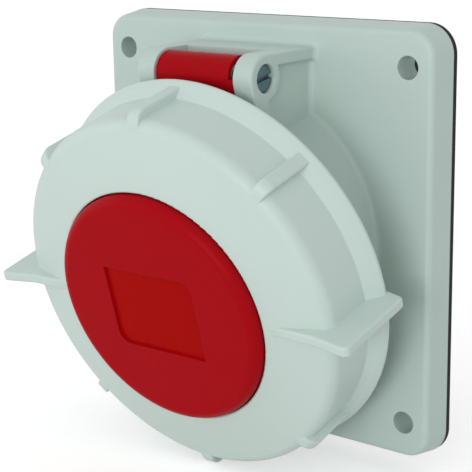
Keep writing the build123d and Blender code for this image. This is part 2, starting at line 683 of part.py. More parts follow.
def contact_carrier():
    """The insulating column with five pin holes and the hole of its central screw."""
    body = turned([
        (0, COLUMN_FRONT, 0),
        (COLUMN_R - COLUMN_EDGE, COLUMN_FRONT, 0),
        (COLUMN_R, COLUMN_FRONT + COLUMN_EDGE, 0),
        (COLUMN_R, LEDGE_DEPTH, 0),
        (0, LEDGE_DEPTH, 0),
    ])
    for index, name in enumerate(CONTACT_NAMES):
        hole = rod(pin_radius(name) + PIN_ENTRY_GAP, 0, CONTACT_FRONT)
        hole += rod(tube_radius(name) + CHAMBER_GAP, CONTACT_FRONT - CHAMBER_GAP, REAR_DEPTH)
        body -= contact_place(index) * hole
    body -= rod(CARRIER_SCREW_R + SCREW_FIT, LEDGE_DEPTH - CARRIER_SCREW_BITE, REAR_DEPTH)
    return AXIS_FRAME * body


def terminal_carrier():
    """The rear insulating body: seat disc, two ears, and a pocket round each terminal."""
    body = turned([
        (0, LEDGE_DEPTH, 0),
        (BASE_R, LEDGE_DEPTH, 0),
        (BASE_R, REAR_DEPTH, 0),
        (SLEEVE_R, REAR_DEPTH, 0),
        (SLEEVE_R, PLATE_BACK, TERMINAL_PLATE_R),
        (TERMINAL_BODY_R, PLATE_BACK, 0),
        (TERMINAL_BODY_R, TERMINAL_BACK, TERMINAL_EDGE_R),
        (0, TERMINAL_BACK, 0),
    ])
    for side in (0.0, 180.0):
        ear = rod(INSERT_EAR_R, REAR_DEPTH, PLATE_BACK)
        ear += Pos(-INSERT_EAR_R, 0, 0) * block(2 * INSERT_EAR_R, 2 * INSERT_EAR_R, REAR_DEPTH, PLATE_BACK)
        body += around(INSERT_SCREW_X, side) * ear
        hole = rod(INSERT_SCREW_R + THROUGH_GAP, REAR_DEPTH - 1, PLATE_BACK + 1)
        body -= around(INSERT_SCREW_X, side) * hole
    pocket_w = BLOCK_W + 2 * BLOCK_GAP
    for index, name in enumerate(CONTACT_NAMES):
        cut = block(pocket_w, pocket_w, COLUMN_FRONT, BLOCK_BACK + BLOCK_GAP)
        cut += rod(WIRE_ENTRY_R, BLOCK_BACK, TERMINAL_BACK + 1)
        for along in CLAMP_DEPTHS:
            access = Cylinder(CLAMP_R + DRIVER_GAP, TERMINAL_BODY_R, align=FROM_BELOW)
            cut += Pos(0, 0, -LEDGE_DEPTH - along) * Rot(0, 90, 0) * access
        body -= contact_place(index) * cut
    seat = LEDGE_DEPTH + CARRIER_SEAT_T
    body -= rod(CARRIER_SCREW_R + THROUGH_GAP, COLUMN_FRONT, seat)
    body -= rod(CARRIER_HEAD_R + DRIVER_GAP, seat, TERMINAL_BACK + 1)
    return AXIS_FRAME * body


def contact(index, name):
    """A brass contact: slit tube in front, solid stem, terminal block behind."""
    outer_r = tube_radius(name)
    body = rod(outer_r, CONTACT_FRONT, LEDGE_DEPTH)
    body += block(BLOCK_W, BLOCK_W, LEDGE_DEPTH, BLOCK_BACK)
    body -= rod(pin_radius(name), CONTACT_FRONT, CONTACT_FRONT + CONTACT_BORE_LENGTH)
    groove_front = CONTACT_FRONT + SPRING_RING_BACK
    groove = rod(outer_r + 1, groove_front, groove_front + SPRING_RING_W)
    body -= groove - rod(outer_r - SPRING_RING_T, groove_front, groove_front + SPRING_RING_W)
    for turn in (45.0, 135.0):
        slit = block(2 * outer_r + 1, CONTACT_SLIT_W, CONTACT_FRONT, CONTACT_FRONT + CONTACT_SLIT_LENGTH)
        body -= Rot(0, 0, turn) * slit
    body -= rod(WIRE_R, BLOCK_BACK - WIRE_DEPTH, BLOCK_BACK)
    for along in CLAMP_DEPTHS:
        hole = Cylinder(CLAMP_R + SCREW_FIT, BLOCK_W, align=FROM_BELOW)
        body -= Pos(0, 0, -LEDGE_DEPTH - along) * Rot(0, 90, 0) * hole
    return AXIS_FRAME * (contact_place(index) * body)


def contact_spring(index, name):
    """The open spring ring that presses a contact's four fingers on the pin."""
    outer_r = tube_radius(name)
    front = CONTACT_FRONT + SPRING_RING_BACK
    ring = turned([
        (outer_r - SPRING_RING_T, front, 0),
        (outer_r, front, 0),
        (outer_r, front + SPRING_RING_W, 0),
        (outer_r - SPRING_RING_T, front + SPRING_RING_W, 0),
    ], SPRING_RING_GAP / 2, 360 - SPRING_RING_GAP)
    return AXIS_FRAME * (contact_place(index) * ring)


def clamp_screws(index):
    """The two grub screws of one terminal, flush with the block's outer side."""
    screws = []
    for along in CLAMP_DEPTHS:
        screw = Cylinder(CLAMP_R, CLAMP_LENGTH, align=FROM_BELOW)
        screw -= Pos(0, 0, CLAMP_LENGTH) * Box(2 * CLAMP_R + 1, CLAMP_SLOT_W, 2 * CLAMP_SLOT_DEPTH)
        start = BLOCK_W / 2 + CLAMP_SLOT_DEPTH - CLAMP_LENGTH
        place = Pos(0, 0, -LEDGE_DEPTH - along) * Rot(0, 90, 0) * Pos(0, 0, start)
        screws.append(AXIS_FRAME * (contact_place(index) * (place * screw)))
    return Compound(children=screws)


def carrier_screw():
    """The central screw that holds the column to the terminal carrier."""
    length = CARRIER_SEAT_T + CARRIER_SCREW_BITE - 1
    screw = slotted_screw(CARRIER_SCREW_R, length, CARRIER_HEAD_R, CARRIER_HEAD_T)
    return AXIS_FRAME * (Pos(0, 0, -LEDGE_DEPTH - CARRIER_SEAT_T) * Rot(180, 0, 0) * screw)


def insert_screws():
    """Two screws that hold the insert to the housing, their heads on the carrier's ears."""
    length = INSERT_SCREW_LENGTH + TERMINAL_PLATE_T - 1
    screw = slotted_screw(INSERT_SCREW_R, length, INSERT_HEAD_R, INSERT_HEAD_T)
    screw = Pos(0, 0, -PLATE_BACK) * Rot(180, 0, 0) * screw
    return Compound(children=[AXIS_FRAME * (around(INSERT_SCREW_X, side) * screw) for side in (0.0, 180.0)])


def main():
    """Builds every piece and writes one file for each."""
    pieces = {
        "flange_housing": flange_housing(),
        "flange_gasket": flange_gasket(),
        "bayonet_ring": bayonet_ring(),
        "lid": lid(),
        "lid_seal": lid_seal(),
        "hinge_pin": hinge_pin(),
        "hinge_spring": hinge_spring(),
        "contact_carrier": contact_carrier(),
        "terminal_carrier": terminal_carrier(),
        "carrier_screw": carrier_screw(),
        "insert_screws": insert_screws(),
    }
    for index, name in enumerate(CONTACT_NAMES):
        pieces[f"contact_{name}"] = contact(index, name)
        pieces[f"contact_spring_{name}"] = contact_spring(index, name)
        pieces[f"terminal_screws_{name}"] = clamp_screws(index)
    for node, piece in pieces.items():
        export_step(piece, f"parts/{node}.step")


main()
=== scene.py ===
import math

import bmesh
import bpy
from bpy.props import FloatProperty, FloatVectorProperty, PointerProperty
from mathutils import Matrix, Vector


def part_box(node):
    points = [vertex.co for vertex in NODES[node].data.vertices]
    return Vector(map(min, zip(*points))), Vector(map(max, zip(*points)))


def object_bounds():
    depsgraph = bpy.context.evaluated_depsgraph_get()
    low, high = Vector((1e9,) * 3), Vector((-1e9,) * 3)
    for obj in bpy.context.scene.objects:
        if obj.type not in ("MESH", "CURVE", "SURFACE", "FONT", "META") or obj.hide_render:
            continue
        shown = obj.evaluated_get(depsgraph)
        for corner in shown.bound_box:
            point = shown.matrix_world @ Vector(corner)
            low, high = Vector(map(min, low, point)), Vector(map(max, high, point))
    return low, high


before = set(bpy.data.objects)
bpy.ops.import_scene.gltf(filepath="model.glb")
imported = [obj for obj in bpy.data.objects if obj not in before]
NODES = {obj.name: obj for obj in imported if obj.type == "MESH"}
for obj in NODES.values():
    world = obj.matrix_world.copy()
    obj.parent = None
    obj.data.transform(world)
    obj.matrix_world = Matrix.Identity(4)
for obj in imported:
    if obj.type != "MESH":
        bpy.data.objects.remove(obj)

bl_info = {
    "name": "Panel Socket Dressing",
    "version": (1, 0, 0),
    "blender": (4, 5, 0),
    "location": "3D Viewport > Sidebar > Panel Socket",
    "description": "Moulded, rubber and metal finishes for the panel socket, and a pale stage",
    "category": "Object",
}

CAD_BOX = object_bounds()

# The socket's axis: it starts in the middle of the ring's opening and leans downward
AXIS_START = (0.0, -0.047, -0.012)
AXIS_LEAN = math.radians(15.0)
AXIS_OUTWARD = (0.0, -math.cos(AXIS_LEAN), -math.sin(AXIS_LEAN))
HINGE_AT = (0.0, -0.0283, 0.0405)
HINGE_AXIS = (1.0, 0.0, 0.0)

# The lid's sunk label field, in the socket's own frame
LABEL_HALF_W = 0.0131
LABEL_HALF_H = 0.0102
LABEL_FLOOR = 0.0018
LABEL_EDGE = 0.0001
LABEL_SMOOTHER = 0.08

# How strongly a bent normal counts as an edge, how much paler the painted highlight on moulded
# edges is, and how much paler worn metal edges are
EDGE_MASK_GAIN = 6.0
PLASTIC_HIGHLIGHT_GAIN = 1.35
PLASTIC_HIGHLIGHT_LIFT = 0.02
METAL_EDGE_GAIN = 1.4
METAL_EDGE_WEAR = 0.5

# Mixture of the grain's two patterns
GRAIN_COARSER = 0.45
GRAIN_PITS = 0.6

# Width of the soft patches of tone on each kind of surface
MOULDING_PATCH = 0.018
RUBBER_PATCH = 0.010
METAL_PATCH = 0.004
FLOOR_PATCH = 0.3

# How far the tone drifts within these patches
RUBBER_DRIFT = 0.25
METAL_DRIFT = 0.10
METAL_STAIN = 0.45
FLOOR_DRIFT = 0.01

# How far the roughness drifts about its middle value
MOULDING_SWING = 0.16
RUBBER_SWING = 0.20
METAL_SWING = 0.22

PLASTIC_IOR = 1.48
RUBBER_IOR = 1.52
RUBBER_SPECULAR = 0.2
BLOOM_COLOUR = (0.20, 0.20, 0.20, 1.0)
DARK_ZINC = (0.05, 0.09, 0.11, 1.0)
DULL_ZINC = (0.10, 0.14, 0.16, 1.0)
DULL_WIRE = (0.30, 0.29, 0.27, 1.0)

# The stage: what the lamps face, where they stand, and the camera at the photograph's angle
STAGE_MIDDLE = (0.0, -0.025, -0.005)
KEY_AT = (0.36, -1.37, 0.15)
FILL_AT = (-1.20, -0.72, 0.20)
LAMP_SIZE = 0.6
FLOOR_DROP = 0.0002
FLOOR_GLOW = 0.50
FLOOR_SEGMENTS = 96
FLOOR_ROUGHNESS = 0.9
CAMERA_AT = (0.205199, -0.275980, 0.081813)
CAMERA_TURN = (76.1816, 0.9605, 38.4627)
CAMERA_SHIFT = (0.00674, -0.01127)
SENSOR_WIDTH = 36.0
NEAREST_SEEN = 0.01

RUBBER_NODES = ("flange_gasket", "lid_seal")
INSULATOR_NODES = ("contact_carrier", "terminal_carrier")
CONTACT_NAMES = ("pe", "l1", "l2", "l3", "n")


def factor(name, description, default):
    """A property between 0 and 1."""
    return FloatProperty(
        name=name, description=description, default=default, min=0.0, max=1.0, subtype="FACTOR")


def length(name, description, default):
    """A property in metres."""
    return FloatProperty(
        name=name, description=description, default=default, min=0.0, precision=5, unit="LENGTH")


def strength(name, description, default, unit="NONE", low=0.0):
    """A property with a lower limit."""
    return FloatProperty(name=name, description=description, default=default, min=low, unit=unit)


def colour(name, description, default):
    """A colour property, in linear values."""
    return FloatVectorProperty(
        name=name, description=description, default=default, size=4, min=0.0, max=1.0,
        subtype="COLOR")


class GreyMouldingSettings(bpy.types.PropertyGroup):
    """Finish of the light grey flange, neck, hinge box and bayonet ring."""
    tint: colour("Housing Colour", "Colour of the flange, neck and hinge box",
                 (0.520, 0.635, 0.592, 1.0))
    ring: colour("Ring Colour", "Colour of the slightly paler bayonet ring",
                 (0.592, 0.708, 0.664, 1.0))
    gloss: factor("Roughness", "Roughness of the moulded surface", 0.42)
    grain: length("Grain Size", "Width of the fine grain left by the mould", 0.00030)
    relief: length("Grain Depth", "Height of the fine grain", 0.000012)
    edge: length("Edge Radius", "Radius of the softened moulded edges", 0.00035)


class LidSettings(bpy.types.PropertyGroup):
    """Finish of the red lid and of its bare label field."""
    tint: colour("Colour", "Colour of the lid", (0.392, 0.004, 0.008, 1.0))
    field: colour("Field Colour", "Colour of the sunk label field", (0.392, 0.0016, 0.0008, 1.0))
    gloss: factor("Roughness", "Roughness of the lid's face", 0.36)
    grain: length("Grain Size", "Width of the fine grain left by the mould", 0.00022)
    relief: length("Grain Depth", "Height of the fine grain", 0.000007)
    edge: length("Edge Radius", "Radius of the softened moulded edges", 0.00022)


class RubberSettings(bpy.types.PropertyGroup):
    """Finish of the flange gasket and the lid's seal."""
    tint: colour("Colour", "Colour of the rubber", (0.007, 0.007, 0.008, 1.0))
    bloom: factor("Bloom", "How much pale powder lies on the rubber", 0.03)
    gloss: factor("Roughness", "Roughness of the rubber", 0.72)
    grain: length("Grain Size", "Width of the rubber's skin pattern", 0.00045)
    relief: length("Grain Depth", "Height of the rubber's skin pattern", 0.00003)
    edge: length("Edge Radius", "Radius of the cut edges", 0.00025)


class InsulatorSettings(bpy.types.PropertyGroup):
    """Finish of the black bodies that hold the contacts."""
    tint: colour("Colour", "Colour of the insulating bodies", (0.026, 0.027, 0.030, 1.0))
    gloss: factor("Roughness", "Roughness of the insulating bodies", 0.48)
    grain: length("Grain Size", "Width of the filler's grain", 0.00040)
    relief: length("Grain Depth", "Height of the filler's grain", 0.00002)
    edge: length("Edge Radius", "Radius of the softened moulded edges", 0.00030)


class SteelSettings(bpy.types.PropertyGroup):
    """Finish of the zinc plated screws and of the bright springs."""
    tint: colour("Zinc Colour", "Colour of the zinc plating", (0.17, 0.24, 0.27, 1.0))
    spring: colour("Spring Colour", "Colour of the spring steel", (0.50, 0.50, 0.49, 1.0))
    gloss: factor("Roughness", "Roughness of the metal", 0.34)
    mark: length("Tool Mark Pitch", "Distance between the turning marks", 0.00016)
    relief: length("Tool Mark Depth", "Height of the turning marks", 0.000008)
    edge: length("Edge Radius", "Radius of the broken edges", 0.00012)


class BrassSettings(bpy.types.PropertyGroup):
    """Finish of the turned brass contacts."""
    tint: colour("Colour", "Colour of the brass", (0.76, 0.55, 0.22, 1.0))
    tarnish: colour("Tarnish", "Colour of the duller patches", (0.50, 0.31, 0.12, 1.0))
    gloss: factor("Roughness", "Roughness of the brass", 0.30)
    mark: length("Tool Mark Pitch", "Distance between the turning marks", 0.00018)
    relief: length("Tool Mark Depth", "Height of the turning marks", 0.000008)
    edge: length("Edge Radius", "Radius of the broken edges", 0.00012)


class StageSettings(bpy.types.PropertyGroup):
    """Floor, lights and camera."""
    floor_tint: colour("Floor Colour", "Colour of the pale floor", (0.80, 0.80, 0.80, 1.0))
    floor_reach: length("Floor Radius", "Radius of the round floor", 4.0)
    ambient: strength("Ambient", "Strength of the even room light", 0.64)
    key: strength("Key Light", "Power of the large lamp in front", 7.6, "POWER")
    fill: strength("Fill Light", "Power of the large lamp on the left", 1.5, "POWER")
    lens: strength("Lens", "Focal length of the camera in millimetres", 105.37, low=1.0)


def add(tree, kind, links=None, **settings):
    """Adds a shader node, sets its fields and fills its inputs by name or number."""
    item = tree.nodes.new(kind)
    for key, value in settings.items():
        setattr(item, key, value)
    for key, value in (links or {}).items():
        if isinstance(value, bpy.types.NodeSocket):
            tree.links.new(value, item.inputs[key])
        else:
            item.inputs[key].default_value = value
    return item


def maths(tree, operation, first, second=0.0, clamp=False):
    """The output of a Math node."""
    item = add(tree, "ShaderNodeMath", {0: first, 1: second}, operation=operation, use_clamp=clamp)
    return item.outputs[0]


def mixed(tree, amount, first, second):
    """The output of a colour mix."""
    item = add(tree, "ShaderNodeMix", {0: amount, 6: first, 7: second}, data_type="RGBA")
    return item.outputs[2]


def new_group(name, inputs, outputs):
    """An empty shader node group with named sockets, and its two end nodes."""
    tree = bpy.data.node_groups.new(name, "ShaderNodeTree")
    for label, kind, default in inputs:
        socket = tree.interface.new_socket(label, in_out="INPUT", socket_type=kind)
        if default is not None:
            socket.default_value = default
    for label, kind in outputs:
        tree.interface.new_socket(label, in_out="OUTPUT", socket_type=kind)
    return tree, tree.nodes.new("NodeGroupInput").outputs, tree.nodes.new("NodeGroupOutput").inputs


def soft_edge_group():
    """Softened edges: the normal of a rounded edge, and a mask of where it bends."""
    tree, given, result = new_group(
        "Soft Edge", [("Radius", "NodeSocketFloat", 0.0003)],
        [("Normal", "NodeSocketVector"), ("Edge", "NodeSocketFloat")])
    bend = add(tree, "ShaderNodeBevel", {"Radius": given["Radius"]}, samples=6)
    flat = add(tree, "ShaderNodeNewGeometry")
    turn = add(tree, "ShaderNodeVectorMath", {0: bend.outputs[0], 1: flat.outputs["Normal"]},
               operation="DOT_PRODUCT")
    lost = maths(tree, "SUBTRACT", 1.0, turn.outputs["Value"])
    tree.links.new(bend.outputs[0], result["Normal"])
    tree.links.new(maths(tree, "MULTIPLY", lost, EDGE_MASK_GAIN, clamp=True), result["Edge"])
    return tree


def fine_grain_group():
    """Fine grain of a moulded skin, as a height and a mask of small spots."""
    tree, given, result = new_group(
        "Fine Grain", [("Vector", "NodeSocketVector", None), ("Size", "NodeSocketFloat", 0.0003)],
        [("Height", "NodeSocketFloat"), ("Spots", "NodeSocketFloat")])
    scale = maths(tree, "DIVIDE", 1.0, given["Size"])
    cells = add(tree, "ShaderNodeTexVoronoi", {"Vector": given["Vector"], "Scale": scale},
                feature="SMOOTH_F1")
    coarser = maths(tree, "MULTIPLY", scale, GRAIN_COARSER)
    cloud = add(tree, "ShaderNodeTexNoise", {
        "Vector": given["Vector"], "Scale": coarser, "Detail": 3.0, "Roughness": 0.6})
    pits = maths(tree, "MULTIPLY", cells.outputs["Distance"], GRAIN_PITS)
    height = maths(tree, "ADD", pits, cloud.outputs["Fac"])
    tree.links.new(height, result["Height"])
    tree.links.new(cloud.outputs["Fac"], result["Spots"])
    return tree


def tone_drift_group():
    """A colour that grows a little lighter and darker in soft patches."""
    tree, given, result = new_group(
        "Tone Drift",
        [("Vector", "NodeSocketVector", None), ("Color", "NodeSocketColor", None),
         ("Amount", "NodeSocketFloat", 0.05), ("Size", "NodeSocketFloat", 0.02)],
        [("Color", "NodeSocketColor"), ("Patch", "NodeSocketFloat")])
    scale = maths(tree, "DIVIDE", 1.0, given["Size"])
    cloud = add(tree, "ShaderNodeTexNoise", {
        "Vector": given["Vector"], "Scale": scale, "Detail": 4.0, "Roughness": 0.55})
    about_zero = maths(tree, "SUBTRACT", cloud.outputs["Fac"], 0.5)
    swing = maths(tree, "MULTIPLY", about_zero, given["Amount"])
    value = maths(tree, "ADD", maths(tree, "MULTIPLY", swing, 2.0), 1.0)
    shade = add(tree, "ShaderNodeHueSaturation", {"Value": value, "Color": given["Color"]})
    tree.links.new(shade.outputs[0], result["Color"])
    tree.links.new(cloud.outputs["Fac"], result["Patch"])
    return tree


def tool_marks_group():
    """Fine rings round an axis through a centre, as a lathe leaves them, with a few streaks."""
    tree, given, result = new_group(
        "Tool Marks",
        [("Vector", "NodeSocketVector", None), ("Centre", "NodeSocketVector", None),
         ("Axis", "NodeSocketVector", None), ("Pitch", "NodeSocketFloat", 0.0002)],
        [("Height", "NodeSocketFloat")])
    arm = add(tree, "ShaderNodeVectorMath", {0: given["Vector"], 1: given["Centre"]},
              operation="SUBTRACT").outputs[0]
    along = add(tree, "ShaderNodeVectorMath", {0: arm, 1: given["Axis"]},
                operation="DOT_PRODUCT")
    across = add(tree, "ShaderNodeVectorMath", {0: arm, 1: given["Axis"]},
                 operation="CROSS_PRODUCT")
    away = add(tree, "ShaderNodeVectorMath", {0: across.outputs[0]}, operation="LENGTH")
    walk = maths(tree, "ADD", along.outputs["Value"], away.outputs["Value"])
    step = maths(tree, "DIVIDE", walk, given["Pitch"])
    streak = add(tree, "ShaderNodeTexNoise", {"W": step, "Scale": 1.0, "Detail": 2.0},
                 noise_dimensions="1D")
    tree.links.new(streak.outputs["Fac"], result["Height"])
    return tree


GROUP_MAKERS = {
    "Soft Edge": soft_edge_group,
    "Fine Grain": fine_grain_group,
    "Tone Drift": tone_drift_group,
    "Tool Marks": tool_marks_group,
}


def effect(tree, name, links):
    """Places one of the shared effects in a material."""
    group = bpy.data.node_groups.get(name) or GROUP_MAKERS[name]()
    item = tree.nodes.new("ShaderNodeGroup")
    item.node_tree = group
    for key, value in links.items():
        if isinstance(value, bpy.types.NodeSocket):
            tree.links.new(value, item.inputs[key])
        else:
            item.inputs[key].default_value = value
    return item.outputs


def new_material(name):
    """A material with a Principled shader: (material, tree, shader, object coordinates)."""
    material = bpy.data.materials.new(name)
    material.use_nodes = True
    tree = material.node_tree
    shader = tree.nodes["Principled BSDF"]
    place = add(tree, "ShaderNodeTexCoord").outputs["Object"]
    return material, tree, shader, place


def bumped(tree, shader, height, distance, normal):
    """Feeds the shader's normal from a height over a softened normal."""
    bump = add(tree, "ShaderNodeBump", {
        "Strength": 1.0, "Distance": distance, "Height": height, "Normal": normal})
    tree.links.new(bump.outputs[0], shader.inputs["Normal"])


def varied_roughness(tree, shader, middle, mask, swing):
    """Lets the roughness drift a little about its middle value."""
    drift = maths(tree, "MULTIPLY", maths(tree, "SUBTRACT", mask, 0.5), swing)
    tree.links.new(maths(tree, "ADD", drift, middle, clamp=True), shader.inputs["Roughness"])


def moulded_material(name, tint, finish, drift, highlight_gain, specular):
    """Moulded plastic: fine grain, soft patches of tone, and edges painted paler as a highlight
    where they catch the light.
    """
    material, tree, shader, place = new_material(name)
    tone = effect(tree, "Tone Drift", {
        "Vector": place, "Color": tint, "Amount": drift, "Size": MOULDING_PATCH})
    grain = effect(tree, "Fine Grain", {"Vector": place, "Size": finish.grain})
    edge = effect(tree, "Soft Edge", {"Radius": finish.edge})
    # Painted highlight: the softened edges get a paler colour, as where light catches them
    highlight_mask = maths(tree, "MULTIPLY", edge["Edge"], highlight_gain)
    pale = [min(1.0, channel * PLASTIC_HIGHLIGHT_GAIN + PLASTIC_HIGHLIGHT_LIFT) for channel in tint[:3]]
    tree.links.new(mixed(tree, highlight_mask, tone["Color"], pale + [1.0]), shader.inputs["Base Color"])
    varied_roughness(tree, shader, finish.gloss, grain["Spots"], MOULDING_SWING)
    bumped(tree, shader, grain["Height"], finish.relief, edge["Normal"])
    shader.inputs["IOR"].default_value = PLASTIC_IOR
    shader.inputs["Specular IOR Level"].default_value = specular
    return material


def axis_place(tree, place):
    """Coordinates in the socket's own frame: right, up across the axis, outward along it."""
    shifted = add(tree, "ShaderNodeVectorMath", {0: place, 1: AXIS_START}, operation="SUBTRACT")
    turned = add(tree, "ShaderNodeVectorRotate", {
        "Vector": shifted.outputs[0], "Center": (0, 0, 0), "Angle": -AXIS_LEAN - math.pi / 2},
        rotation_type="X_AXIS")
    return add(tree, "ShaderNodeSeparateXYZ", {0: turned.outputs[0]}).outputs


def within(tree, value, half, edge):
    """1 where the value lies within half of 0, falling to 0 over the edge width."""
    size = maths(tree, "ABSOLUTE", value)
    item = add(tree, "ShaderNodeMapRange", {
        "Value": size, "From Min": half + edge, "From Max": half, "To Min": 0.0, "To Max": 1.0})
    return item.outputs[0]


def lid_material(finish):
    """The red lid, whose sunk field is smoother and of a purer red."""
    material = moulded_material(
        "Red Moulding", finish.tint, finish, drift=0.04, highlight_gain=0.10, specular=0.03)
    tree = material.node_tree
    shader = tree.nodes["Principled BSDF"]
    place = add(tree, "ShaderNodeTexCoord").outputs["Object"]
    right, up, out = axis_place(tree, place)
    wide = within(tree, right, LABEL_HALF_W, LABEL_EDGE)
    high = within(tree, up, LABEL_HALF_H, LABEL_EDGE)
    inside = maths(tree, "MULTIPLY", wide, high)
    level = within(tree, maths(tree, "SUBTRACT", out, LABEL_FLOOR), LABEL_EDGE, LABEL_EDGE)
    field = maths(tree, "MULTIPLY", inside, level)
    skin = shader.inputs["Base Color"].links[0].from_socket
    tree.links.new(mixed(tree, field, skin, finish.field), shader.inputs["Base Color"])
    dull = shader.inputs["Roughness"].links[0].from_socket
    smoother = maths(tree, "MULTIPLY", field, LABEL_SMOOTHER)
    tree.links.new(maths(tree, "SUBTRACT", dull, smoother), shader.inputs["Roughness"])
    return material


def rubber_material(finish):
    """Black rubber with a trace of pale bloom."""
    material, tree, shader, place = new_material("Black Rubber")
    grain = effect(tree, "Fine Grain", {"Vector": place, "Size": finish.grain})
    edge = effect(tree, "Soft Edge", {"Radius": finish.edge})
    tone = effect(tree, "Tone Drift", {
        "Vector": place, "Color": finish.tint, "Amount": RUBBER_DRIFT, "Size": RUBBER_PATCH})
    powder = maths(tree, "MULTIPLY", tone["Patch"], finish.bloom)
    tree.links.new(mixed(tree, powder, tone["Color"], BLOOM_COLOUR), shader.inputs["Base Color"])
    varied_roughness(tree, shader, finish.gloss, grain["Spots"], RUBBER_SWING)
    bumped(tree, shader, grain["Height"], finish.relief, edge["Normal"])
    shader.inputs["IOR"].default_value = RUBBER_IOR
    shader.inputs["Specular IOR Level"].default_value = RUBBER_SPECULAR
    return material


def metal_material(name, tint, dull, finish, centre, axis):
    """Turned metal: tool marks round an axis, soft patches, and bright broken edges."""
    material, tree, shader, place = new_material(name)
    marks = effect(tree, "Tool Marks", {
        "Vector": place, "Centre": centre, "Axis": axis, "Pitch": finish.mark})
    edge = effect(tree, "Soft Edge", {"Radius": finish.edge})
    tone = effect(tree, "Tone Drift", {
        "Vector": place, "Color": tint, "Amount": METAL_DRIFT, "Size": METAL_PATCH})
    stain = maths(tree, "MULTIPLY", tone["Patch"], METAL_STAIN)
    stained = mixed(tree, stain, tone["Color"], dull)
    bright = [min(1.0, channel * METAL_EDGE_GAIN) for channel in tint[:3]] + [1.0]
    worn = maths(tree, "MULTIPLY", edge["Edge"], METAL_EDGE_WEAR)
    tree.links.new(mixed(tree, worn, stained, bright), shader.inputs["Base Color"])
    shader.inputs["Metallic"].default_value = 1.0
    varied_roughness(tree, shader, finish.gloss, marks["Height"], METAL_SWING)
    bumped(tree, shader, marks["Height"], finish.relief, edge["Normal"])
    return material


def paint(names, material):
    """Gives the CAD nodes of these names one material."""
    for name in names:
        for place in NODES[name].material_slots:
            place.material = material


class SOCKET_OT_grey_mouldings(bpy.types.Operator):
    """Give the flange housing and the bayonet ring their light grey moulded finish"""
    bl_idname = "socket.grey_mouldings"
    bl_label = "Grey Mouldings"

    def execute(self, context):
        finish = context.scene.socket_grey
        housing = moulded_material(
            "Grey Housing", finish.tint, finish, drift=0.025, highlight_gain=0.30, specular=0.30)
        ring = moulded_material(
            "Grey Ring", finish.ring, finish, drift=0.020, highlight_gain=0.30, specular=0.30)
        paint(("flange_housing",), housing)
        paint(("bayonet_ring",), ring)
        return {"FINISHED"}


class SOCKET_OT_lid(bpy.types.Operator):
    """Give the lid its red moulded finish and its bare label field"""
    bl_idname = "socket.lid"
    bl_label = "Lid"

    def execute(self, context):
        paint(("lid",), lid_material(context.scene.socket_lid))
        return {"FINISHED"}


class SOCKET_OT_seals(bpy.types.Operator):
    """Give the flange gasket and the lid's seal their black rubber"""
    bl_idname = "socket.seals"
    bl_label = "Gasket and Seal"

    def execute(self, context):
        paint(RUBBER_NODES, rubber_material(context.scene.socket_rubber))
        return {"FINISHED"}


class SOCKET_OT_insulators(bpy.types.Operator):
    """Give the two bodies that hold the contacts their black insulating plastic"""
    bl_idname = "socket.insulators"
    bl_label = "Insulating Bodies"

    def execute(self, context):
        finish = context.scene.socket_insulator
        black = moulded_material(
            "Black Insulator", finish.tint, finish, drift=0.12, highlight_gain=0.20, specular=0.35)
        paint(INSULATOR_NODES, black)
        return {"FINISHED"}


class SOCKET_OT_hinge(bpy.types.Operator):
    """Give the hinge screw its zinc plating and the hinge spring its bright steel"""
    bl_idname = "socket.hinge"
    bl_label = "Hinge Screw and Spring"

    def execute(self, context):
        finish = context.scene.socket_steel
        zinc = metal_material(
            "Zinc Hinge Screw", finish.tint, DARK_ZINC, finish, HINGE_AT, HINGE_AXIS)
        wire = metal_material(
            "Spring Wire", finish.spring, DULL_WIRE, finish, HINGE_AT, HINGE_AXIS)
        paint(("hinge_pin",), zinc)
        paint(["hinge_spring"] + [f"contact_spring_{name}" for name in CONTACT_NAMES], wire)
        return {"FINISHED"}


class SOCKET_OT_contacts(bpy.types.Operator):
    """Give the five contacts their turned brass"""
    bl_idname = "socket.contacts"
    bl_label = "Contacts"

    def execute(self, context):
        finish = context.scene.socket_brass
        for name in CONTACT_NAMES:
            low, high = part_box(f"contact_{name}")
            centre = (Vector(low) + Vector(high)) / 2
            brass = metal_material(
                f"Turned Brass {name}", finish.tint, finish.tarnish, finish, centre, AXIS_OUTWARD)
            paint((f"contact_{name}",), brass)
        return {"FINISHED"}


class SOCKET_OT_screws(bpy.types.Operator):
    """Give the screws of the terminals and of the two bodies their zinc plating"""
    bl_idname = "socket.screws"
    bl_label = "Screws"

    def execute(self, context):
        finish = context.scene.socket_steel
        zinc = metal_material(
            "Zinc Screws", finish.tint, DULL_ZINC, finish, AXIS_START, AXIS_OUTWARD)
        clamps = [f"terminal_screws_{name}" for name in CONTACT_NAMES]
        paint(["carrier_screw", "insert_screws"] + clamps, zinc)
        return {"FINISHED"}


def studio_world(ambient):
    """Even room light, seen as plain white by the camera and in reflections."""
    world = bpy.data.worlds.new("Studio")
    bpy.context.scene.world = world
    world.use_nodes = True
    tree = world.node_tree
    light = tree.nodes["Background"]
    rays = add(tree, "ShaderNodeLightPath").outputs
    mirrored = maths(tree, "MAXIMUM", rays["Is Glossy Ray"], rays["Is Transmission Ray"])
    seen = maths(tree, "MAXIMUM", rays["Is Camera Ray"], mirrored)
    level = add(tree, "ShaderNodeMapRange", {"Value": seen, "To Min": ambient, "To Max": 1.0})
    light.inputs["Color"].default_value = (1.0, 1.0, 1.0, 1.0)
    tree.links.new(level.outputs[0], light.inputs["Strength"])


